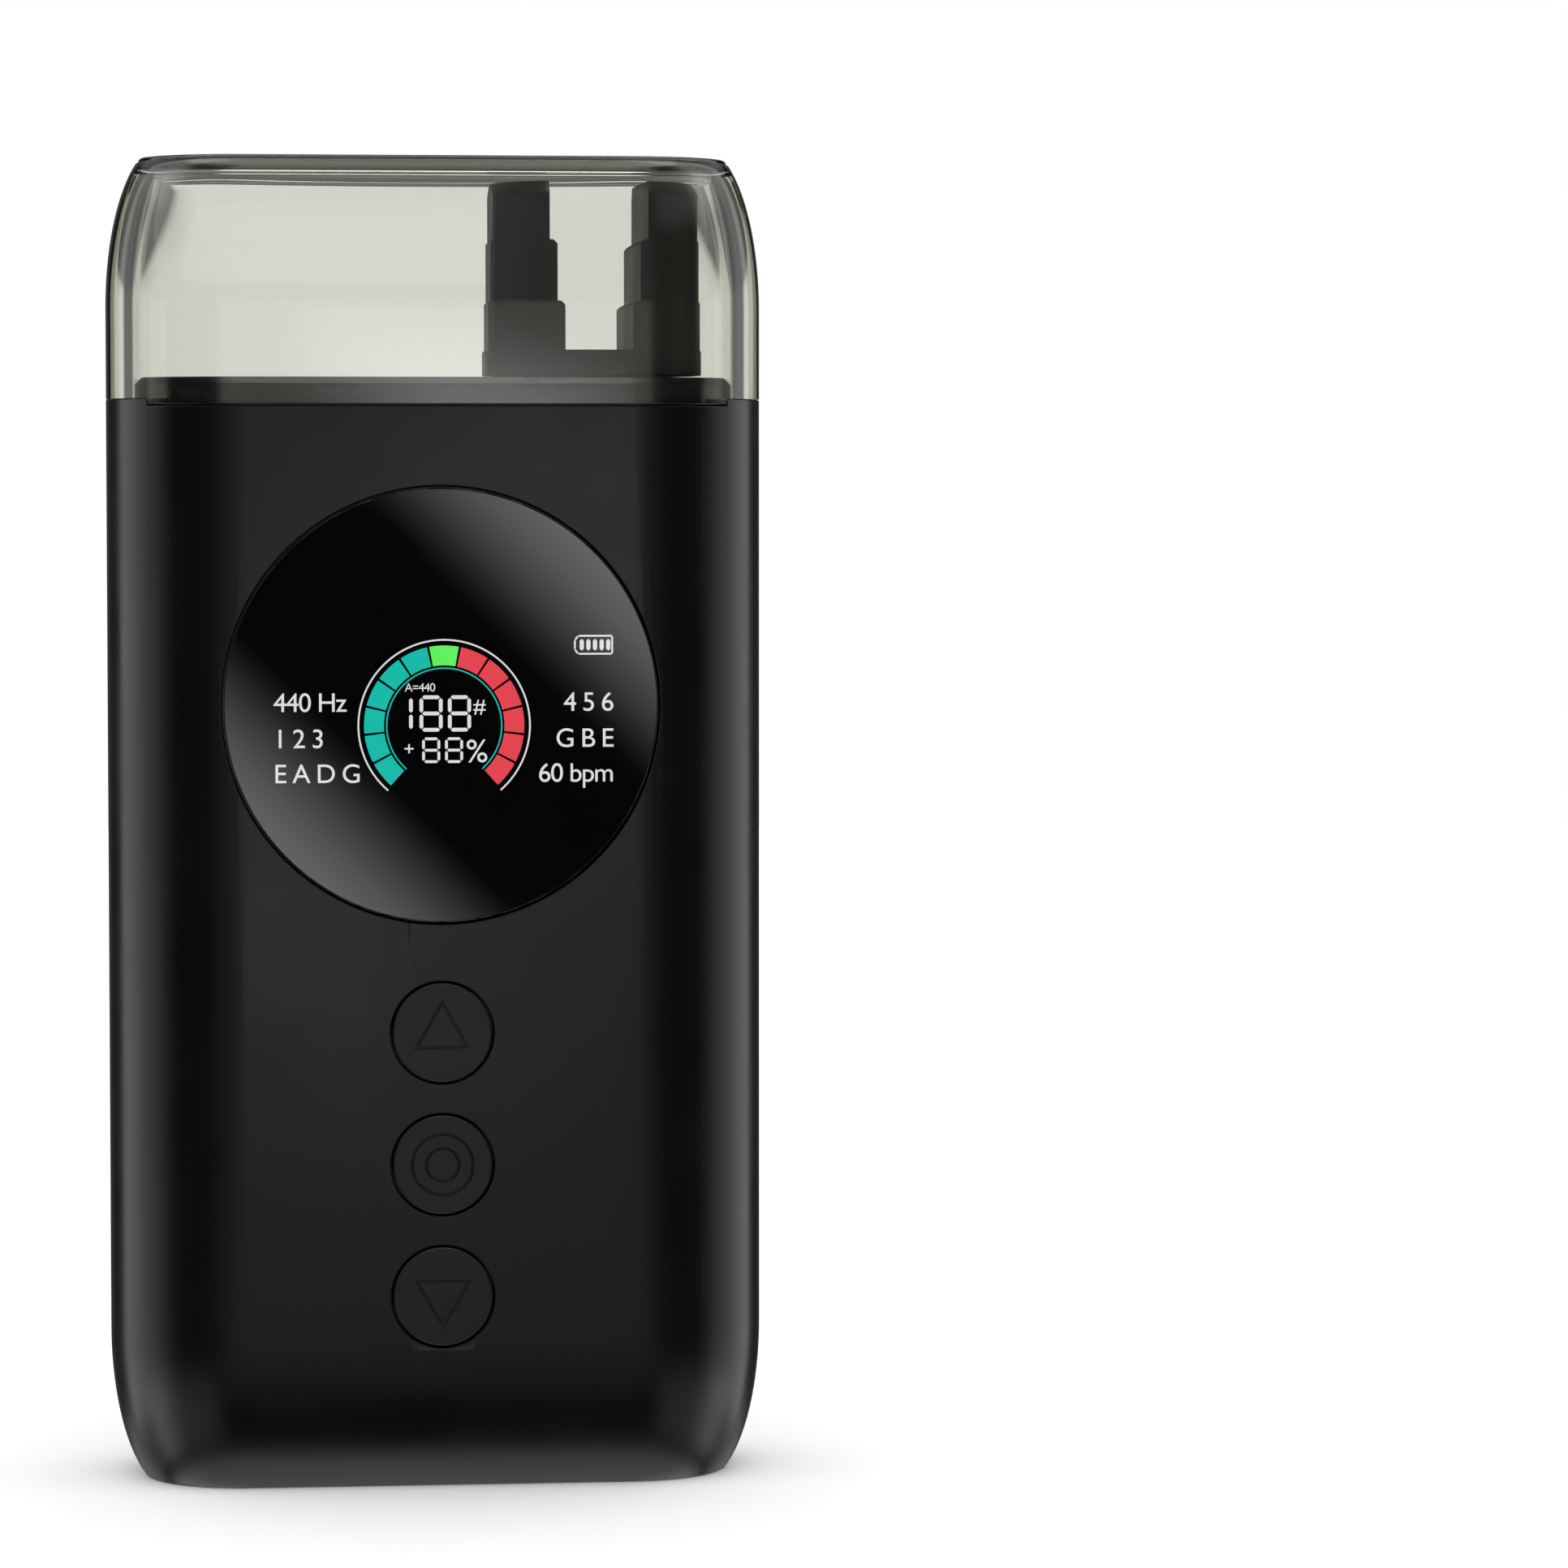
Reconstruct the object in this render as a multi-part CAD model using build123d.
from build123d import *
import os
from math import acos, atan2, cos, pi, radians, sin, sqrt, tan

# Handheld motorised string tuner and winder. A flat black two-shell housing carries a round display lens
# and three buttons on its front. A geared motor turns a forked winder head that stands on the top deck,
# under a clear smoked pull-off cap. Millimetres: +X right, +Y to the rear, +Z up, origin at the base centre.

# ---------- overall form ----------
HEIGHT = 96.8            # base to cap top
FRONT_Y = -12.5          # flat front face
REAR_Y = 12.5            # crest of the crowned rear face
FLAT_HALF = 14.0         # half-width of the flat front
FRONT_CORNER_R = 10.0
REAR_CORNER_R = 9.0
REAR_CROWN_R = 50.0
ROUND_LENGTH = 11.0      # height over which each end draws in
ROUND_SEMI_Z = 12.1      # ellipse that the ends follow, along z
ROUND_SEMI_IN = 4.35     # and inwards
ROUND_SECTIONS = 8

# ---------- housing ----------
WALL = 1.8
FLOOR = 2.0
RIM_Z = 79.2             # top rim, where the cap lands
TONGUE_SIDE = 3.0        # full-height rim left at each side of the lowered front rim
TONGUE_DROP = 0.5
TONGUE_BACK_Y = -6.0
LIP_HEIGHT = 0.8         # locating lip between the two shells
LIP_INSET = 0.95
FIT = 0.05               # clearance between pieces that locate each other
GAP = 0.1                # clearance between pieces that only pass each other
FUSE = 0.3               # how far ribs and bosses run into what carries them
PAST = 1.0               # how far a cut runs past the face it opens
BACK_RIB_X = 6.0         # ribs on the rear shell that back the battery
BACK_RIB_T = 1.2
BACK_RIB_Z = (10.0, 38.0)
LEDGE_HALF = 10.0        # ledges that carry the deck
LEDGE_REACH = 1.1
LEDGE_T = 1.0

# ---------- cap ----------
CAP_CLEAR = 0.2          # between the cap's wall and the neck
CAP_TOP = 1.4
CAP_SEAT = 0.05          # seam between cap and rim

# ---------- deck ----------
NECK_STEP = 0.3          # neck behind the inside of the housing wall
PLUG_TOP_Z = 78.6
DECK_TOP_Z = 80.8
DECK_BOTTOM_Z = 76.0
DECK_PLATE = 1.5
DECK_SKIRT = 1.4
DECK_CHAMFER = 0.5
SNAP_X = 7.3
SNAP_L = 2.8
SNAP_H = 0.55
SNAP_RISE = 0.65         # snap rib's middle above the rim
SNAP_PROUD = 0.15

# ---------- winder head ----------
HEAD_X = 11.7            # output axis, from the middle of the housing
HEAD_Y = -0.9
HEAD_DISC_R = 8.3
HEAD_CHAMFER = 0.8       # keeps the turning head clear of the cap's rounded top
HEAD_BASE_Z = 81.0
SLOT_FLOOR_Z = 82.8
STEP_Z = (86.35, 90.7, 94.8)
FLAT_STEPS = (7.98, 7.8, 7.65, 7.5)
SLOT_STEPS = (4.8, 5.9, 7.0)
SLOT_DRAFT = 0.16        # extra slot width at each mouth
LEDGE_CHAMFER = 0.3
HUB_R = 3.4
HUB_BOTTOM_Z = 76.6
RUN_FIT = 0.04           # radial clearance of turning fits
SEAT_FIT = 0.01          # clearance of the head on its shaft
BUSH_WALL = 1.2
BUSH_RECESS = 0.6
HUB_IN_BASE = 1.2        # how far the shaft reaches into the head's base
SHAFT_FLAT = 1.5         # flat on the shaft, from its axis

# ---------- display ----------
LENS_Z = 57.1
LENS_R = 15.7
LENS_T = 1.0
LENS_GAP = 0.15
LENS_EDGE = 0.12
GASKET_T = 0.15
PANEL_Z = 56.7
PANEL_W = 27.0
PANEL_H = 15.0
PANEL_T = 1.1
WINDOW_W = 25.4
WINDOW_H = 13.3
BACKLIGHT_T = 0.75
HOLDER_WALL = 0.6

# ---------- buttons ----------
BUTTON_MID_Z = 23.8
BUTTON_SPACE = 0.8       # between neighbouring flanges
BUTTON_R = 3.6
BUTTON_GAP = 0.15
BUTTON_FLANGE = 0.8
BUTTON_FLANGE_T = 0.55
BUTTON_REST_GAP = 0.2    # between the flange and the wall it sits behind
BUTTON_TRAVEL = 0.4
GROOVE_W = 0.16
GROOVE_DEPTH = 0.15
TRIANGLE_BASE = 3.85
TRIANGLE_HEIGHT = 3.3
RING_RADII = (2.2, 1.18)
SWITCH_SIZE = 4.5
SWITCH_T = 1.05
PLUNGER_R = 1.2

# ---------- electronics ----------
BOARD_T = 1.0
BOARD_HALF = 16.5
BOARD_Z = (3.2, 63.6)
BOARD_CORNER = 3.0
BOARD_SCREWS = ((-13.6, 8.5), (13.6, 8.5), (-13.6, 45.0), (13.6, 45.0))
BOSS_R = 2.0
SCREW_R = 0.75
SCREW_HEAD_R = 1.4
SCREW_HEAD_H = 0.8
SCREW_GRIP = 2.2         # thread length in a plastic boss
CHIPS = ((-6, 30, 7, 7, 0.9), (6, 32, 4, 5, 0.9), (0, 14, 3, 3, 0.8))   # x, z, width, height, thickness
USB_W = 8.94
USB_T = 3.26
USB_LENGTH = 7.3
USB_WALL = 0.3
USB_RECESS = 0.5
USB_MOUTH = 0.2
USB_BACK = 1.2           # insulator that closes the shell's far end
USB_TONGUE = (6.6, 0.7)
USB_TONGUE_TIP = 1.0     # tip of the tongue behind the shell's mouth
BUZZER_R = 4.5
BUZZER_H = 2.5
BUZZER_XZ = (-9.0, 52.0)
BUZZER_PORT = 0.8        # radius and depth of its sound hole
PIEZO_R = 5.0
PIEZO_T = 0.4
PIEZO_X = -14.5

# ---------- battery ----------
CELL_W = 30.0
CELL_T = 7.5
CELL_Z = (5.0, 41.0)
CELL_BACK_Y = 5.5
CELL_EDGE = 1.5
PAD_W = 16.0
PAD_T = 1.6
PAD_Z = (12.0, 36.0)
LEAD_RISE = 2.6          # battery leads above the cell
LEAD_X = (-2.0, -0.6)
LEAD_BEND = 1.5
PLUG_T = 3.4
PLUG_X = (-3.2, 0.6)
PLUG_HALF = 1.6

# ---------- motor ----------
MOTOR_D = 12.0
MOTOR_FLATS = 10.0
MOTOR_Z = (45.0, 65.0)
CAN_WALL = 0.6
END_CAP_T = 1.5
END_SKIN = 0.4           # end cap left under the shaft's pocket
MAGNET_R = (3.9, 5.3)
MAGNET_SPAN = 90.0
MAGNET_Z = (49.0, 60.0)
ARMATURE_R = 3.6
ARMATURE_Z = (50.0, 59.0)
ARMATURE_POLES = 3
POLE_SLOT_W = 0.6
POLE_SLOT_IN = 0.45      # share of the radius where the pole slots end
COMMUTATOR_R = 1.5
COMMUTATOR_Z = (46.2, 49.0)
MOTOR_SHAFT_R = 0.75
MOTOR_BOSS_R = 2.0
MOTOR_SCREW_X = 4.5
SINK = 0.6               # depth of the countersunk heads
TERMINAL_X = 3.2
TERMINAL_L = 1.5
TERMINAL_T = 0.4
MOTOR_LEAD_LEAN = 0.7    # sideways step of the motor leads, as a share of a third of their run
MOTOR_LEAD_BEND = 1.2

# ---------- gear train ----------
MODULE = 0.5
PINION_TEETH = 12
WHEEL_TEETH = 26
PROFILE_SHIFT = 0.3
PRESSURE_ANGLE = radians(20)
TIP_RELIEF = 0.1
DEDENDUM = 1.25          # tooth depth below the pitch circle, in modules
BACKLASH = 0.06
FACE = 1.8               # face width of each wheel
STAGE_STEP = 2.1
FIRST_STAGE_Z = 66.5
PLATE_T = 1.0
PLATE_LOWER_Z = MOTOR_Z[1]
PLATE_UPPER_Z = DECK_BOTTOM_Z - PLATE_T
IDLER_R = 1.0
OUT_THIN_R = 1.25
OUT_R = 2.0
PLATE_EDGE = 0.5         # plate beyond the outer posts
POST_R = 1.15
POST_BORE_R = 0.8
POST_GAP = 0.23          # between a post and the wheels
CLIP_R = 3.1
CLIP_T = 0.4
CLIP_GROOVE_R = 1.6
CLIP_MOUTH = 1.8
DECK_SKIN = 1.3          # deck left above the ends of the gearbox screws
WIRE_R = 0.45

# ---------- places that follow from the sizes above ----------
HALF_WIDTH = FLAT_HALF + FRONT_CORNER_R
ACROSS = (-HALF_WIDTH - PAST, HALF_WIDTH + PAST)
TONGUE_HALF = HALF_WIDTH - TONGUE_SIDE
INNER_FRONT_Y = FRONT_Y + WALL
PLUG_INSET = WALL + FIT
NECK_INSET = WALL + NECK_STEP
CAP_WALL = NECK_INSET - CAP_CLEAR
BUSH_R = HUB_R + BUSH_WALL
BUTTON_PITCH = 2 * (BUTTON_R + BUTTON_FLANGE) + BUTTON_SPACE
BUTTON_Z = {"up": BUTTON_MID_Z + BUTTON_PITCH, "select": BUTTON_MID_Z, "down": BUTTON_MID_Z - BUTTON_PITCH}
BUTTON_BACK_Y = INNER_FRONT_Y + BUTTON_REST_GAP + BUTTON_FLANGE_T
SWITCH_FRONT_Y = BUTTON_BACK_Y + BUTTON_TRAVEL + GAP
BOARD_FRONT_Y = SWITCH_FRONT_Y + SWITCH_T
BOARD_BACK_Y = BOARD_FRONT_Y + BOARD_T
PANEL_FRONT_Y = INNER_FRONT_Y + FIT
PANEL_BACK_Y = PANEL_FRONT_Y + PANEL_T + BACKLIGHT_T
PLUNGER_BACK_Y = BOARD_FRONT_Y - BUTTON_TRAVEL - 2 * GAP
USB_Y = BOARD_BACK_Y + USB_T / 2 + GAP
LEAD_TOP_Z = CELL_Z[1] + LEAD_RISE
PLUG_BACK_Y = BOARD_BACK_Y + PLUG_T
CENTRES = MODULE * (PINION_TEETH + WHEEL_TEETH) / 2
IDLER_X = HEAD_X - CENTRES
WHEEL_TIP_R = MODULE * (WHEEL_TEETH / 2 + 1 - PROFILE_SHIFT) - TIP_RELIEF
POST_REACH = WHEEL_TIP_R + POST_GAP + POST_R
POST_MID_X = HEAD_X - CENTRES / 2
POST_Y = sqrt(POST_REACH**2 - (CENTRES / 2) ** 2)
POST_LEFT_X = IDLER_X - POST_REACH
POST_RIGHT_X = HEAD_X + POST_REACH
PLATE_R = POST_Y + POST_R + PLATE_EDGE
POSTS = (
    (POST_MID_X, HEAD_Y - POST_Y),
    (POST_MID_X, HEAD_Y + POST_Y),
    (POST_LEFT_X, HEAD_Y),
    (POST_RIGHT_X, HEAD_Y),
)
CLIP_Z = (DECK_BOTTOM_Z + FIT, DECK_BOTTOM_Z + FIT + CLIP_T)
SHAFT_TOP_Z = HEAD_BASE_Z + HUB_IN_BASE
DECK_SCREW_TOP = DECK_TOP_Z - DECK_SKIN
END_POCKET_Z = MOTOR_Z[0] - END_CAP_T + END_SKIN
SHAFT_FLAT_Y = HEAD_Y + SHAFT_FLAT


# ---------- housing form ----------
def outline(inset):
    """Plan of the housing pulled in all round by inset: flat front, round corners, crowned rear."""
    half = HALF_WIDTH - inset
    front_corner = Vector(FLAT_HALF, FRONT_Y + FRONT_CORNER_R)
    crown_y = REAR_Y - REAR_CROWN_R
    rear_x = HALF_WIDTH - REAR_CORNER_R
    reach = REAR_CROWN_R - REAR_CORNER_R
    rear_y = crown_y + sqrt(reach**2 - rear_x**2)
    turn = atan2(rear_y - crown_y, rear_x)
    front_r = FRONT_CORNER_R - inset
    rear_r = REAR_CORNER_R - inset
    crown_r = REAR_CROWN_R - inset
    front_mid = front_corner + Vector(front_r * cos(pi / 4), -front_r * sin(pi / 4))
    rear_mid = Vector(rear_x + rear_r * cos(turn / 2), rear_y + rear_r * sin(turn / 2))
    crown_end = Vector(crown_r * cos(turn), crown_y + crown_r * sin(turn))

    def left(p):
        return Vector(-p.X, p.Y)

    front = Vector(FLAT_HALF, FRONT_Y + inset)
    side_a = Vector(half, front_corner.Y)
    side_b = Vector(half, rear_y)
    edges = [
        Line(left(front), front),
        ThreePointArc(front, front_mid, side_a),
        Line(side_a, side_b),
        ThreePointArc(side_b, rear_mid, crown_end),
        ThreePointArc(crown_end, Vector(0, REAR_Y - inset), left(crown_end)),
        ThreePointArc(left(crown_end), left(rear_mid), left(side_b)),
        Line(left(side_b), left(side_a)),
        ThreePointArc(left(side_a), left(front_mid), left(front)),
    ]
    return make_face(edges)


def end_inset(t):
    """How far the form has drawn in, t above the start of an end rounding."""
    return ROUND_SEMI_IN * (1 - sqrt(1 - (t / ROUND_SEMI_Z) ** 2))


def section(inset, z):
    """Plan at height z, with the end rounding added to inset."""
    past = max(ROUND_LENGTH - z, z - (HEIGHT - ROUND_LENGTH), 0)
    return Pos(0, 0, z) * outline(inset + end_inset(past))


def form(inset, low, high):
    """Block of the housing form between two heights, pulled in by inset."""
    straight_low = max(low, ROUND_LENGTH)
    straight_high = min(high, HEIGHT - ROUND_LENGTH)
    block = extrude(section(inset, straight_low), straight_high - straight_low)
    for start, end in ((low, ROUND_LENGTH), (HEIGHT - ROUND_LENGTH, high)):
        if end > start:
            steps = [start + (end - start) * i / (ROUND_SECTIONS - 1) for i in range(ROUND_SECTIONS)]
            block += loft([section(inset, z) for z in steps])
    return block


def slab(x, y, z):
    """Box between pairs of limits along x, y and z."""
    size = [b - a for a, b in (x, y, z)]
    return Pos(x[0], y[0], z[0]) * Box(*size, align=Align.MIN)


def rod(x, y, z, r):
    """Upright cylinder at (x, y) between two heights."""
    return Pos(x, y, z[0]) * Cylinder(r, z[1] - z[0], align=(Align.CENTER, Align.CENTER, Align.MIN))


def pin_y(x, z, y, r):
    """Cylinder along y at (x, z) between two depths."""
    turned = Rot(X=-90) * Cylinder(r, y[1] - y[0], align=(Align.CENTER, Align.CENTER, Align.MIN))
    return Pos(x, y[0], z) * turned


# ---------- shells, deck and cap ----------
def housing_tube():
    tube = form(0, 0, RIM_Z) - form(WALL, FLOOR, RIM_Z + PAST)
    tongue_x = (-TONGUE_HALF, TONGUE_HALF)
    return tube - slab(tongue_x, (FRONT_Y - PAST, TONGUE_BACK_Y), (RIM_Z - TONGUE_DROP, RIM_Z + PAST))


def lip_band(inset, y_low):
    """The inner part of the wall just in front of the parting plane."""
    band = form(inset, inset, RIM_Z - TONGUE_DROP) - form(WALL, FLOOR, RIM_Z)
    return band & slab((-HALF_WIDTH, HALF_WIDTH), (y_low, 0), (0, RIM_Z))


def deck_ledges():
    ring = form(WALL, DECK_BOTTOM_Z - LEDGE_T, DECK_BOTTOM_Z)
    ring -= form(WALL + LEDGE_REACH, DECK_BOTTOM_Z - LEDGE_T, DECK_BOTTOM_Z)
    return ring & slab((-LEDGE_HALF, LEDGE_HALF), (FRONT_Y, REAR_Y), (0, HEIGHT))


def usb_plan(grow):
    """Round-ended outline of the charging socket, larger by grow all round."""
    return SlotOverall(USB_W + 2 * grow, USB_T + 2 * grow)


def front_cover(tube):
    cover = tube & slab(ACROSS, (FRONT_Y - PAST, 0), (-PAST, HEIGHT))
    cover -= lip_band(LIP_INSET - FIT, -LIP_HEIGHT - FIT)
    cover += deck_ledges() & slab(ACROSS, (FRONT_Y, 0), (0, HEIGHT))
    seat_y = FRONT_Y + LENS_T + GASKET_T
    cover -= pin_y(0, LENS_Z, (FRONT_Y - PAST, seat_y), LENS_R + LENS_GAP)
    window = ((-WINDOW_W / 2, WINDOW_W / 2), (PANEL_Z - WINDOW_H / 2, PANEL_Z + WINDOW_H / 2))
    cover -= slab(window[0], (FRONT_Y, INNER_FRONT_Y + PAST), window[1])
    for z in BUTTON_Z.values():
        cover -= pin_y(0, z, (FRONT_Y - PAST, INNER_FRONT_Y + PAST), BUTTON_R + BUTTON_GAP)
    for x, z in BOARD_SCREWS:
        cover += pin_y(x, z, (INNER_FRONT_Y - FUSE, BOARD_FRONT_Y), BOSS_R)
        cover -= pin_y(x, z, (BOARD_FRONT_Y - SCREW_GRIP, BOARD_FRONT_Y), SCREW_R + RUN_FIT)
    mouth = Pos(0, USB_Y, -PAST) * usb_plan(USB_MOUTH)
    return cover - extrude(mouth, FLOOR + 2 * PAST)


def rear_cover(tube):
    cover = tube & slab(ACROSS, (0, REAR_Y + PAST), (-PAST, HEIGHT))
    cover += lip_band(LIP_INSET, -LIP_HEIGHT)
    cover += deck_ledges() & slab(ACROSS, (0, REAR_Y), (0, HEIGHT))
    rib_y = (CELL_BACK_Y + PAD_T, REAR_Y)
    inside = form(WALL - FUSE, FLOOR, RIM_Z)
    for side in (-1, 1):
        middle = side * BACK_RIB_X
        rib_x = (middle - BACK_RIB_T / 2, middle + BACK_RIB_T / 2)
        cover += slab(rib_x, rib_y, BACK_RIB_Z) & inside
    return cover


def snap_ribs():
    """Small ribs on the neck, front and rear, that the cap grips."""
    middle = RIM_Z + SNAP_RISE
    shell = form(NECK_INSET - SNAP_PROUD, middle - SNAP_H / 2, middle + SNAP_H / 2)
    shell -= form(NECK_INSET + SNAP_PROUD, middle - SNAP_H / 2, middle + SNAP_H / 2)
    ribs = []
    for side in (-1, 1):
        x = (side * SNAP_X - SNAP_L / 2, side * SNAP_X + SNAP_L / 2)
        ribs.append(shell & slab(x, (FRONT_Y, REAR_Y), (0, HEIGHT)))
    return ribs


def top_deck():
    neck = form(NECK_INSET, PLUG_TOP_Z, DECK_TOP_Z)
    neck = chamfer(neck.faces().sort_by(Axis.Z)[-1].edges(), DECK_CHAMFER)
    deck = neck + form(PLUG_INSET, DECK_BOTTOM_Z, PLUG_TOP_Z)
    deck -= form(PLUG_INSET + DECK_SKIRT, DECK_BOTTOM_Z, DECK_TOP_Z - DECK_PLATE)
    for rib in snap_ribs():
        deck += rib
    inside = form(PLUG_INSET, DECK_BOTTOM_Z, PLUG_TOP_Z)
    inside += form(NECK_INSET, PLUG_TOP_Z, DECK_TOP_Z - DECK_CHAMFER)
    for x, y in POSTS:
        deck += rod(x, y, (DECK_BOTTOM_Z, DECK_TOP_Z - DECK_PLATE + FUSE), BOSS_R) & inside
        deck -= rod(x, y, (DECK_BOTTOM_Z, DECK_SCREW_TOP + GAP), SCREW_R + RUN_FIT)
    deck += rod(HEAD_X, HEAD_Y, (DECK_BOTTOM_Z, DECK_TOP_Z - DECK_PLATE + FUSE), BUSH_R + DECK_SKIRT)
    return deck - rod(HEAD_X, HEAD_Y, (DECK_BOTTOM_Z - PAST, DECK_TOP_Z + PAST), BUSH_R + RUN_FIT / 2)


def cap():
    low = RIM_Z + CAP_SEAT
    drop = TONGUE_DROP - CAP_SEAT
    outer = form(0, low, HEIGHT)
    tongue = form(0, low - drop, low + FUSE)
    tongue &= slab((FIT - TONGUE_HALF, TONGUE_HALF - FIT), (FRONT_Y, TONGUE_BACK_Y - FIT), (0, HEIGHT))
    return outer + tongue - form(CAP_WALL, low - PAST, HEIGHT - CAP_TOP)


# ---------- display ----------
def display_lens():
    lens = pin_y(0, LENS_Z, (FRONT_Y, FRONT_Y + LENS_T), LENS_R)
    rim = lens.edges().filter_by(GeomType.CIRCLE).sort_by(Axis.Y)[0]
    return chamfer(rim, LENS_EDGE)


def panel_box(grow, y):
    """Rectangle of the display panel, larger by grow, between two depths."""
    half_w = PANEL_W / 2 + grow
    half_h = PANEL_H / 2 + grow
    return slab((-half_w, half_w), y, (PANEL_Z - half_h, PANEL_Z + half_h))


def lens_gasket():
    y = (FRONT_Y + LENS_T, FRONT_Y + LENS_T + GASKET_T)
    ring = pin_y(0, LENS_Z, y, LENS_R - LENS_GAP)
    window = slab((-WINDOW_W / 2, WINDOW_W / 2), y, (PANEL_Z - WINDOW_H / 2, PANEL_Z + WINDOW_H / 2))
    return ring - window


def display_holder():
    frame = panel_box(HOLDER_WALL + GAP, (PANEL_FRONT_Y, PANEL_BACK_Y))
    frame -= panel_box(GAP, (PANEL_FRONT_Y, PANEL_BACK_Y))
    return frame


# ---------- buttons ----------
def button(name):
    z = BUTTON_Z[name]
    knob = pin_y(0, z, (FRONT_Y, BUTTON_BACK_Y), BUTTON_R)
    knob = chamfer(knob.edges().filter_by(GeomType.CIRCLE).sort_by(Axis.Y)[0], GROOVE_DEPTH)
    knob += pin_y(0, z, (BUTTON_BACK_Y - BUTTON_FLANGE_T, BUTTON_BACK_Y), BUTTON_R + BUTTON_FLANGE)
    face = Plane(origin=(0, FRONT_Y, z), x_dir=(1, 0, 0), z_dir=(0, 1, 0))
    if name == "select":
        for r in RING_RADII:
            knob -= extrude(face * (Circle(r + GROOVE_W / 2) - Circle(r - GROOVE_W / 2)), GROOVE_DEPTH)
        return knob
    # the face plane's second axis points down, so the "down" apex lies on its positive side
    way = 1 if name == "down" else -1
    rise = TRIANGLE_HEIGHT / 3
    corners = [(-TRIANGLE_BASE / 2, -way * rise), (TRIANGLE_BASE / 2, -way * rise), (0, 2 * way * rise)]
    triangle = make_face(Polyline(*corners, close=True))
    outer = offset(triangle, GROOVE_W / 2, kind=Kind.INTERSECTION)
    inner = offset(triangle, -GROOVE_W / 2, kind=Kind.INTERSECTION)
    return knob - extrude(face * (outer - inner), GROOVE_DEPTH)


def plunger(z):
    return pin_y(0, z, (BUTTON_BACK_Y, PLUNGER_BACK_Y), PLUNGER_R)


def tact_switches():
    half = SWITCH_SIZE / 2
    front = BOARD_FRONT_Y - SWITCH_T
    bodies = []
    for z in BUTTON_Z.values():
        body = slab((-half, half), (front, BOARD_FRONT_Y), (z - half, z + half))
        bore = pin_y(0, z, (front, BOARD_FRONT_Y - GAP), PLUNGER_R + FIT)
        bodies.append(body - bore)
    return Compound(children=bodies)


# ---------- electronics ----------
def main_board():
    plan = slab((-BOARD_HALF, BOARD_HALF), (BOARD_FRONT_Y, BOARD_BACK_Y), BOARD_Z)
    board = fillet(plan.edges().filter_by(Axis.Y), BOARD_CORNER)
    for x, z in BOARD_SCREWS:
        board -= pin_y(x, z, (BOARD_FRONT_Y, BOARD_BACK_Y), SCREW_R + GAP)
    return board


def board_screws():
    screws = []
    for x, z in BOARD_SCREWS:
        head = pin_y(x, z, (BOARD_BACK_Y, BOARD_BACK_Y + SCREW_HEAD_H), SCREW_HEAD_R)
        screws.append(head + pin_y(x, z, (BOARD_FRONT_Y - SCREW_GRIP + GAP, BOARD_BACK_Y), SCREW_R))
    return Compound(children=screws)


def usb_shell():
    plan = usb_plan(0) - usb_plan(-USB_WALL)
    return extrude(Pos(0, USB_Y, USB_RECESS) * plan, USB_LENGTH)


def usb_tongue():
    back = USB_RECESS + USB_LENGTH
    block = extrude(Pos(0, USB_Y, back - USB_BACK) * usb_plan(-USB_WALL), USB_BACK)
    half_w = USB_TONGUE[0] / 2
    half_t = USB_TONGUE[1] / 2
    y = (USB_Y - half_t, USB_Y + half_t)
    return block + slab((-half_w, half_w), y, (USB_RECESS + USB_TONGUE_TIP, back - USB_BACK))


def chip(x, z, w, h, t):
    return slab((x - w / 2, x + w / 2), (BOARD_BACK_Y, BOARD_BACK_Y + t), (z - h / 2, z + h / 2))


def controller_chips():
    return Compound(children=[chip(*size) for size in CHIPS])


def buzzer():
    x, z = BUZZER_XZ
    case = pin_y(x, z, (BOARD_BACK_Y, BOARD_BACK_Y + BUZZER_H), BUZZER_R)
    return case - pin_y(x, z, (BOARD_BACK_Y + BUZZER_H - BUZZER_PORT, BOARD_BACK_Y + BUZZER_H), BUZZER_PORT)


def piezo_pickup():
    under = DECK_TOP_Z - DECK_PLATE
    return rod(PIEZO_X, HEAD_Y, (under - PIEZO_T, under), PIEZO_R)


# ---------- battery ----------
def battery_cell():
    cell = slab((-CELL_W / 2, CELL_W / 2), (CELL_BACK_Y - CELL_T, CELL_BACK_Y), CELL_Z)
    return fillet(cell.edges().filter_by(Axis.Z), CELL_EDGE)


def battery_pad():
    return slab((-PAD_W / 2, PAD_W / 2), (CELL_BACK_Y, CELL_BACK_Y + PAD_T), PAD_Z)


def wire(points, radii):
    """Round insulated lead along straight runs joined by tangent arcs."""
    path = FilletPolyline(*points, radius=radii)
    start = Plane(origin=path @ 0, z_dir=path % 0)
    return sweep(start * Circle(WIRE_R), path=path)


def battery_leads():
    leads = []
    for x in LEAD_X:
        mid_y = CELL_BACK_Y - CELL_T / 2
        points = [(x, mid_y, CELL_Z[1]), (x, mid_y, LEAD_TOP_Z), (x, PLUG_BACK_Y, LEAD_TOP_Z)]
        leads.append(wire(points, LEAD_BEND))
    return Compound(children=leads)


def battery_plug():
    return slab(PLUG_X, (BOARD_BACK_Y, PLUG_BACK_Y), (LEAD_TOP_Z - PLUG_HALF, LEAD_TOP_Z + PLUG_HALF))


# ---------- motor ----------
def flatted(r, flats, z):
    """Round can with two flats, front and rear, between two heights."""
    between = (HEAD_Y - flats / 2, HEAD_Y + flats / 2)
    return rod(HEAD_X, HEAD_Y, z, r) & slab((HEAD_X - r, HEAD_X + r), between, z)


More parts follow.
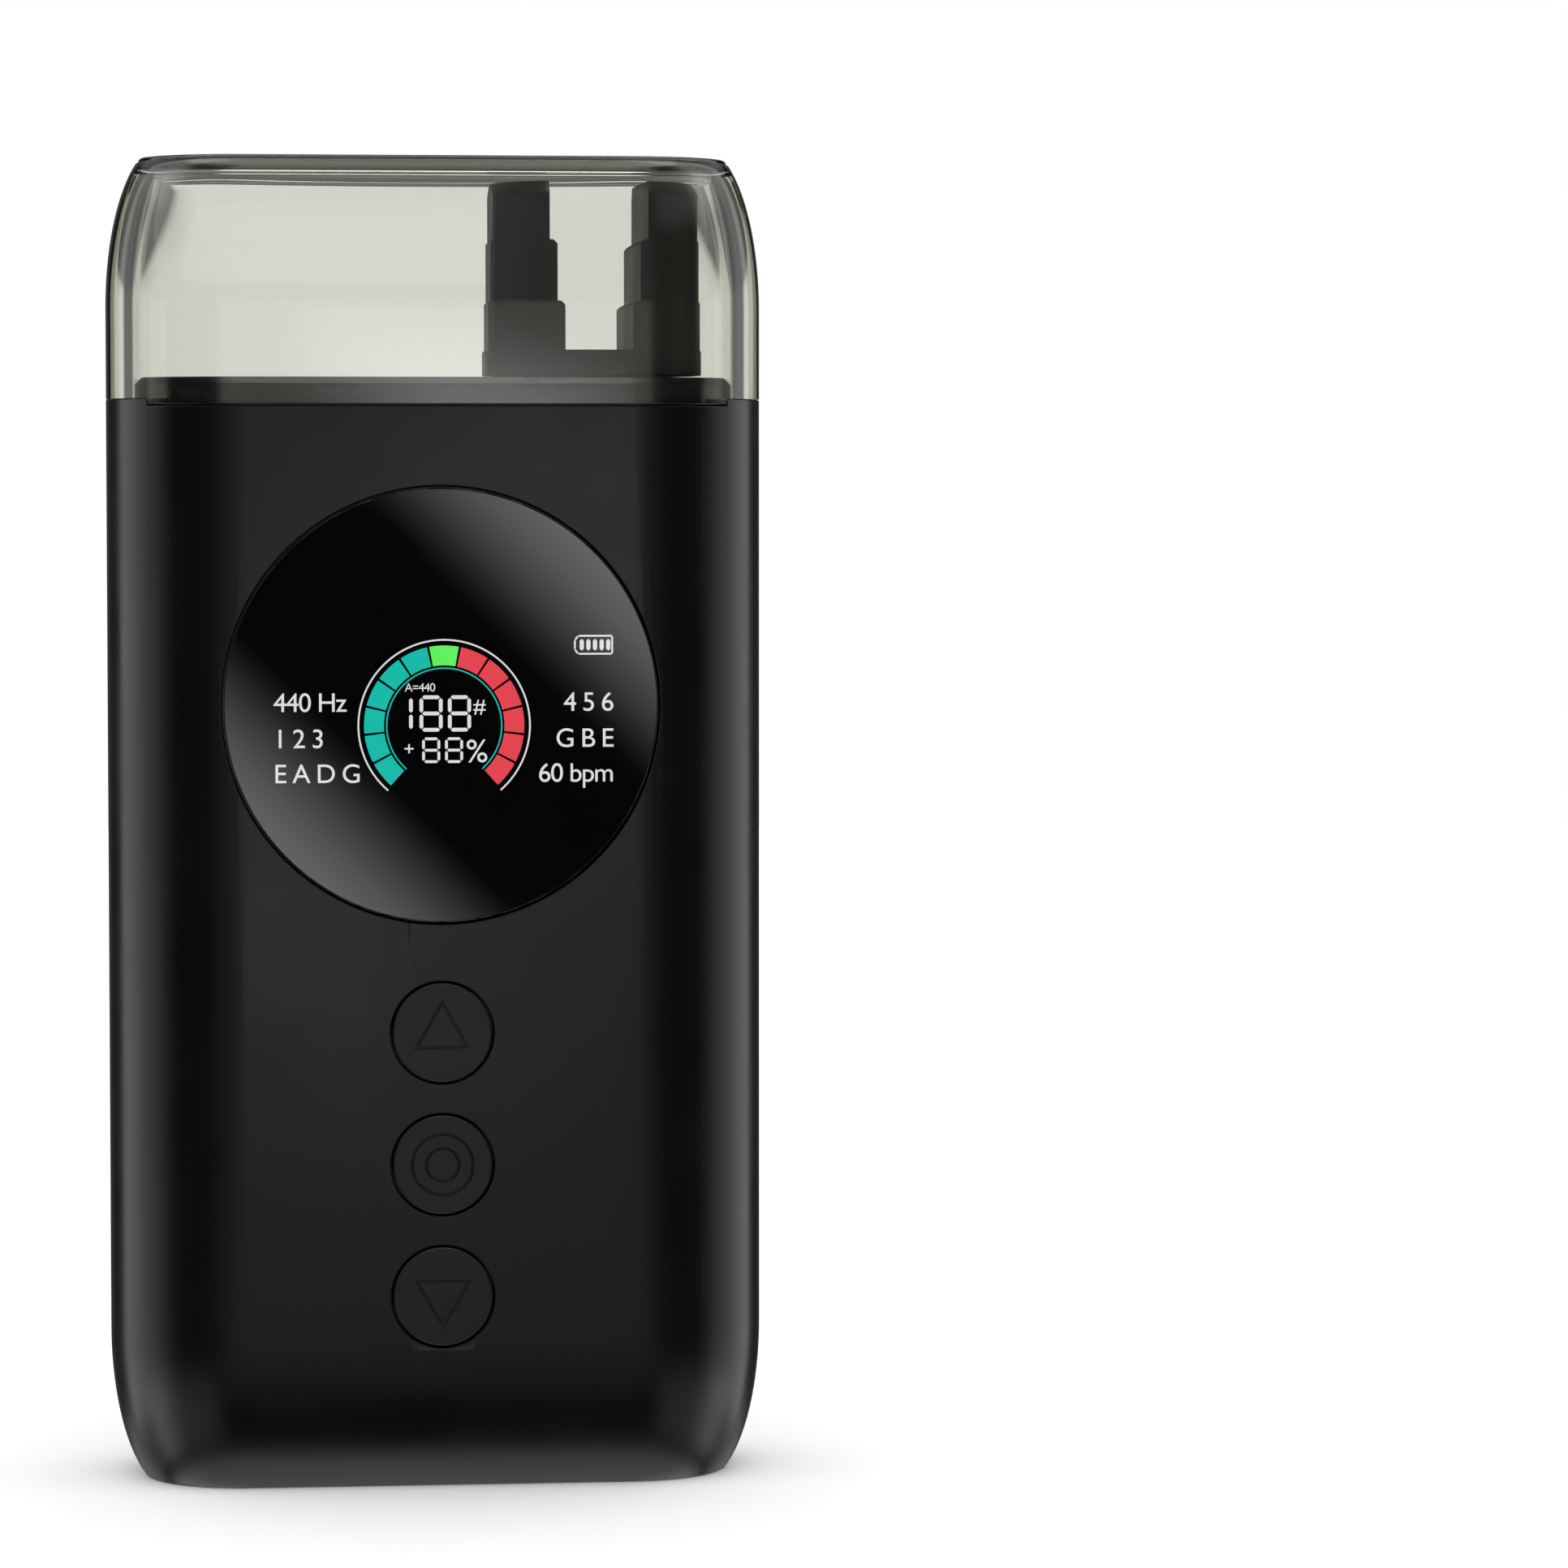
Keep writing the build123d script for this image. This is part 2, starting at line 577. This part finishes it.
def motor_can():
    can = flatted(MOTOR_D / 2, MOTOR_FLATS, MOTOR_Z)
    can -= flatted(MOTOR_D / 2 - CAN_WALL, MOTOR_FLATS - 2 * CAN_WALL, (MOTOR_Z[0], MOTOR_Z[1] - CAN_WALL))
    can += rod(HEAD_X, HEAD_Y, (MOTOR_Z[1] - CAN_WALL, MOTOR_Z[1] + PLATE_T - GAP), MOTOR_BOSS_R)
    can -= rod(HEAD_X, HEAD_Y, (MOTOR_Z[0], MOTOR_Z[1] + PLATE_T), MOTOR_SHAFT_R + RUN_FIT)
    for side in (-1, 1):
        x = HEAD_X + side * MOTOR_SCREW_X
        can -= rod(x, HEAD_Y, (MOTOR_Z[1] - CAN_WALL, MOTOR_Z[1]), SCREW_R + RUN_FIT)
    return can


def motor_end_cap():
    plate = flatted(MOTOR_D / 2, MOTOR_FLATS, (MOTOR_Z[0] - END_CAP_T, MOTOR_Z[0]))
    return plate - rod(HEAD_X, HEAD_Y, (END_POCKET_Z, MOTOR_Z[0]), MOTOR_SHAFT_R + RUN_FIT)


def motor_magnets():
    ring = rod(HEAD_X, HEAD_Y, MAGNET_Z, MAGNET_R[1]) - rod(HEAD_X, HEAD_Y, MAGNET_Z, MAGNET_R[0])
    reach = MAGNET_R[1] * sin(radians(MAGNET_SPAN / 2))
    arcs = []
    for side in (0, 1):
        x = (HEAD_X, HEAD_X + MOTOR_D) if side else (HEAD_X - MOTOR_D, HEAD_X)
        arcs.append(ring & slab(x, (HEAD_Y - reach, HEAD_Y + reach), MAGNET_Z))
    return Compound(children=arcs)


def motor_terminals():
    low = MOTOR_Z[0] - END_CAP_T
    y = (HEAD_Y - TERMINAL_T / 2, HEAD_Y + TERMINAL_T / 2)
    tabs = []
    for side in (-1, 1):
        x = HEAD_X + side * TERMINAL_X
        tabs.append(slab((x - TERMINAL_L / 2, x + TERMINAL_L / 2), y, (low - TERMINAL_L, low)))
    return Compound(children=tabs)


def motor_leads():
    """Two leads that step towards the middle on their way from the terminals to the board."""
    z = MOTOR_Z[0] - END_CAP_T - TERMINAL_L / 2
    start_y = HEAD_Y - TERMINAL_T / 2
    run = (start_y - BOARD_BACK_Y) / 3
    leads = []
    for side in (-1, 1):
        x = HEAD_X + side * TERMINAL_X
        inner = x - side * run * MOTOR_LEAD_LEAN
        points = [(x, start_y, z), (x, start_y - run, z)]
        points += [(inner, start_y - 2 * run, z), (inner, BOARD_BACK_Y, z)]
        leads.append(wire(points, MOTOR_LEAD_BEND))
    return Compound(children=leads)


def motor_shaft():
    return rod(HEAD_X, HEAD_Y, (END_POCKET_Z + 2 * GAP, FIRST_STAGE_Z + FACE), MOTOR_SHAFT_R)


def motor_armature():
    core = rod(HEAD_X, HEAD_Y, ARMATURE_Z, ARMATURE_R)
    for pole in range(ARMATURE_POLES):
        slot_x = (ARMATURE_R * POLE_SLOT_IN, ARMATURE_R + PAST)
        slot = slab(slot_x, (-POLE_SLOT_W / 2, POLE_SLOT_W / 2), ARMATURE_Z)
        core -= Pos(HEAD_X, HEAD_Y, 0) * (Rot(Z=360 / ARMATURE_POLES * pole) * slot)
    return core - rod(HEAD_X, HEAD_Y, ARMATURE_Z, MOTOR_SHAFT_R)


def motor_commutator():
    return rod(HEAD_X, HEAD_Y, COMMUTATOR_Z, COMMUTATOR_R) - rod(HEAD_X, HEAD_Y, COMMUTATOR_Z, MOTOR_SHAFT_R)


def countersink(x, y, face_z, r, way):
    """Cone that widens from r to a flush face, looking up (way 1) or down (way -1)."""
    ends = (r, r + SINK) if way == 1 else (r + SINK, r)
    return Pos(x, y, face_z - way * SINK / 2) * Cone(*ends, SINK)


def motor_screws():
    screws = []
    for side in (-1, 1):
        x = HEAD_X + side * MOTOR_SCREW_X
        top = PLATE_LOWER_Z + PLATE_T
        shank = rod(x, HEAD_Y, (MOTOR_Z[1] - CAN_WALL, top - SINK), SCREW_R)
        screws.append(shank + countersink(x, HEAD_Y, top, SCREW_R, 1))
    return Compound(children=screws)


# ---------- gear train ----------
def involute(angle):
    return tan(angle) - angle


def gear_plan(teeth, shift, tooth_at):
    """Toothed plan with involute flanks; tooth_at is the bearing of one tooth's middle, in degrees."""
    pitch_r = MODULE * teeth / 2
    base_r = pitch_r * cos(PRESSURE_ANGLE)
    root_r = pitch_r - MODULE * (DEDENDUM - shift)
    tip_r = pitch_r + MODULE * (1 + shift) - TIP_RELIEF
    thick = MODULE * (pi / 2 + 2 * shift * tan(PRESSURE_ANGLE)) - BACKLASH
    half_pitch = thick / (2 * pitch_r) + involute(PRESSURE_ANGLE)
    start_r = max(base_r, root_r)
    flank = [start_r + (tip_r - start_r) * i / 4 for i in range(5)]
    radii = ([root_r] if root_r < base_r else []) + flank
    points = []
    for tooth in range(teeth):
        middle = radians(tooth_at + 360 / teeth * tooth)
        half = [half_pitch - involute(acos(min(base_r / r, 1))) for r in radii]
        points += [(r * cos(middle - a), r * sin(middle - a)) for r, a in zip(radii, half)]
        points += [(r * cos(middle + a), r * sin(middle + a)) for r, a in zip(radii[::-1], half[::-1])]
    return make_face(Polyline(*points, close=True))


def wheel(x, z):
    plan = gear_plan(WHEEL_TEETH, -PROFILE_SHIFT, 0)
    return extrude(Pos(x, HEAD_Y, z) * plan, FACE)


def pinion(x, z, height):
    """Pinion with a space facing along x, where its wheel has a tooth."""
    plan = gear_plan(PINION_TEETH, PROFILE_SHIFT, 180 / PINION_TEETH)
    return extrude(Pos(x, HEAD_Y, z) * plan, height)


def stage_z(stage):
    return FIRST_STAGE_Z + stage * STAGE_STEP


def cluster_gear(stage):
    """Wheel of one stage with the pinion that drives the next, free on its pin."""
    x = IDLER_X if stage % 2 == 0 else HEAD_X
    bore = (IDLER_R if stage % 2 == 0 else OUT_THIN_R) + RUN_FIT
    z = stage_z(stage)
    gear = wheel(x, z) + pinion(x, z + FACE, STAGE_STEP)
    return gear - rod(x, HEAD_Y, (z, z + FACE + STAGE_STEP), bore)


def motor_pinion():
    z = stage_z(0)
    return pinion(HEAD_X, z, FACE) - rod(HEAD_X, HEAD_Y, (z, z + FACE), MOTOR_SHAFT_R)


def output_gear():
    z = stage_z(3)
    return wheel(HEAD_X, z) - rod(HEAD_X, HEAD_Y, (z, z + FACE), OUT_R)


def output_shaft():
    thin = rod(HEAD_X, HEAD_Y, (stage_z(1) - GAP, stage_z(3)), OUT_THIN_R)
    thick = rod(HEAD_X, HEAD_Y, (stage_z(3), SHAFT_TOP_Z), OUT_R)
    beyond = (SHAFT_FLAT_Y, HEAD_Y + OUT_R)
    thick -= slab((HEAD_X - OUT_R, HEAD_X + OUT_R), beyond, (HUB_BOTTOM_Z, SHAFT_TOP_Z))
    grooved = rod(HEAD_X, HEAD_Y, CLIP_Z, OUT_R) - rod(HEAD_X, HEAD_Y, CLIP_Z, CLIP_GROOVE_R)
    return thin + thick - grooved


def retaining_clip():
    clip = rod(HEAD_X, HEAD_Y, CLIP_Z, CLIP_R) - rod(HEAD_X, HEAD_Y, CLIP_Z, CLIP_GROOVE_R)
    return clip - slab((HEAD_X - CLIP_MOUTH / 2, HEAD_X + CLIP_MOUTH / 2), (HEAD_Y - CLIP_R, HEAD_Y), CLIP_Z)


def idler_pin():
    return rod(IDLER_X, HEAD_Y, (PLATE_LOWER_Z, PLATE_UPPER_Z + PLATE_T), IDLER_R)


def plate(z):
    """Round-ended gearbox plate with post holes and the idler pin's seat."""
    left_x = POST_LEFT_X + PLATE_R - POST_R - PLATE_EDGE
    right_x = POST_RIGHT_X - PLATE_R + POST_R + PLATE_EDGE
    plan = Pos((left_x + right_x) / 2, HEAD_Y, z) * SlotCenterToCenter(right_x - left_x, 2 * PLATE_R)
    body = extrude(plan, PLATE_T)
    for x, y in POSTS:
        body -= rod(x, y, (z, z + PLATE_T), SCREW_R + RUN_FIT)
    return body - rod(IDLER_X, HEAD_Y, (z, z + PLATE_T), IDLER_R)


def gearbox_lower_plate():
    body = plate(PLATE_LOWER_Z)
    z = (PLATE_LOWER_Z, PLATE_LOWER_Z + PLATE_T)
    body -= rod(HEAD_X, HEAD_Y, z, MOTOR_BOSS_R + FIT)
    for side in (-1, 1):
        x = HEAD_X + side * MOTOR_SCREW_X
        body -= rod(x, HEAD_Y, z, SCREW_R + RUN_FIT) + countersink(x, HEAD_Y, z[1], SCREW_R + RUN_FIT, 1)
    for x, y in POSTS:
        body -= countersink(x, y, z[0], SCREW_R + RUN_FIT, -1)
    return body


def gearbox_upper_plate():
    z = (PLATE_UPPER_Z, PLATE_UPPER_Z + PLATE_T)
    return plate(PLATE_UPPER_Z) - rod(HEAD_X, HEAD_Y, z, OUT_R + RUN_FIT)


def gearbox_posts():
    z = (PLATE_LOWER_Z + PLATE_T, PLATE_UPPER_Z)
    return Compound(children=[rod(x, y, z, POST_R) - rod(x, y, z, POST_BORE_R) for x, y in POSTS])


def gearbox_screws():
    screws = []
    for x, y in POSTS:
        head = countersink(x, y, PLATE_LOWER_Z, SCREW_R, -1)
        screws.append(head + rod(x, y, (PLATE_LOWER_Z, DECK_SCREW_TOP), SCREW_R))
    return Compound(children=screws)


# ---------- winder head ----------
def output_bush():
    z = (DECK_BOTTOM_Z + BUSH_RECESS, DECK_TOP_Z)
    return rod(HEAD_X, HEAD_Y, z, BUSH_R) - rod(HEAD_X, HEAD_Y, z, HUB_R + RUN_FIT)


def slot_outline(y, extra):
    """Stepped slot seen from the front, at depth y, wider by extra."""
    right = [(SLOT_STEPS[0] / 2, SLOT_FLOOR_Z)]
    for i, top in enumerate(STEP_Z[:-1]):
        here = SLOT_STEPS[i] / 2
        following = SLOT_STEPS[i + 1] / 2
        right += [(here, top - LEDGE_CHAMFER), (here + LEDGE_CHAMFER, top), (following, top)]
    right.append((SLOT_STEPS[-1] / 2, STEP_Z[-1] + PAST))
    right = [(x + extra / 2, z) for x, z in right]
    points = right + [(-x, z) for x, z in reversed(right)]
    return make_face(Polyline(*[(HEAD_X + x, HEAD_Y + y, z) for x, z in points], close=True))


def winder_head():
    levels = (HEAD_BASE_Z, SLOT_FLOOR_Z) + STEP_Z
    head = rod(HEAD_X, HEAD_Y, (HEAD_BASE_Z, STEP_Z[-1]), HEAD_DISC_R)
    head = chamfer(head.edges().filter_by(GeomType.CIRCLE).sort_by(Axis.Z)[-1], HEAD_CHAMFER)
    for flat, low, high in zip(FLAT_STEPS, levels[:-1], levels[1:]):
        for side in (-1, 1):
            x = sorted((HEAD_X + side * flat, HEAD_X + side * (HEAD_DISC_R + PAST)))
            head -= slab(x, (HEAD_Y - HEAD_DISC_R, HEAD_Y + HEAD_DISC_R), (low, high))
    mouth = HEAD_DISC_R + PAST
    for side in (-1, 1):
        head -= loft([slot_outline(0, 0), slot_outline(side * mouth, SLOT_DRAFT)], ruled=True)
    head += rod(HEAD_X, HEAD_Y, (HUB_BOTTOM_Z, HEAD_BASE_Z), HUB_R)
    bore_r = OUT_R + SEAT_FIT
    bore = rod(HEAD_X, HEAD_Y, (HUB_BOTTOM_Z, SHAFT_TOP_Z), bore_r)
    beyond = (SHAFT_FLAT_Y + SEAT_FIT, HEAD_Y + bore_r)
    bore -= slab((HEAD_X - bore_r, HEAD_X + bore_r), beyond, (HUB_BOTTOM_Z, SHAFT_TOP_Z))
    return head - bore


tube = housing_tube()
panel_y = (PANEL_FRONT_Y, PANEL_FRONT_Y + PANEL_T)
nodes = {
    "front_cover": front_cover(tube),
    "rear_cover": rear_cover(tube),
    "top_deck": top_deck(),
    "cap": cap(),
    "display_lens": display_lens(),
    "lens_gasket": lens_gasket(),
    "display_panel": panel_box(0, panel_y),
    "display_backlight": panel_box(0, (panel_y[1], PANEL_BACK_Y)),
    "display_holder": display_holder(),
    "tact_switches": tact_switches(),
    "main_board": main_board(),
    "board_screws": board_screws(),
    "usb_shell": usb_shell(),
    "usb_tongue": usb_tongue(),
    "controller_chips": controller_chips(),
    "buzzer": buzzer(),
    "piezo_pickup": piezo_pickup(),
    "battery_cell": battery_cell(),
    "battery_pad": battery_pad(),
    "battery_leads": battery_leads(),
    "battery_plug": battery_plug(),
    "motor_can": motor_can(),
    "motor_end_cap": motor_end_cap(),
    "motor_magnets": motor_magnets(),
    "motor_terminals": motor_terminals(),
    "motor_leads": motor_leads(),
    "motor_screws": motor_screws(),
    "motor_shaft": motor_shaft(),
    "motor_armature": motor_armature(),
    "motor_commutator": motor_commutator(),
    "motor_pinion": motor_pinion(),
    "gearbox_lower_plate": gearbox_lower_plate(),
    "gearbox_upper_plate": gearbox_upper_plate(),
    "gearbox_posts": gearbox_posts(),
    "gearbox_screws": gearbox_screws(),
    "idler_pin": idler_pin(),
    "output_shaft": output_shaft(),
    "output_gear": output_gear(),
    "retaining_clip": retaining_clip(),
    "output_bush": output_bush(),
    "winder_head": winder_head(),
}
for stage in range(3):
    nodes[f"cluster_gear_{stage + 1}"] = cluster_gear(stage)
for name, z in BUTTON_Z.items():
    nodes[f"button_{name}"] = button(name)
    nodes[f"plunger_{name}"] = plunger(z)

os.makedirs("parts", exist_ok=True)
for name, solid in nodes.items():
    export_step(solid, f"parts/{name}.step")
    print(name, round(solid.volume, 2))
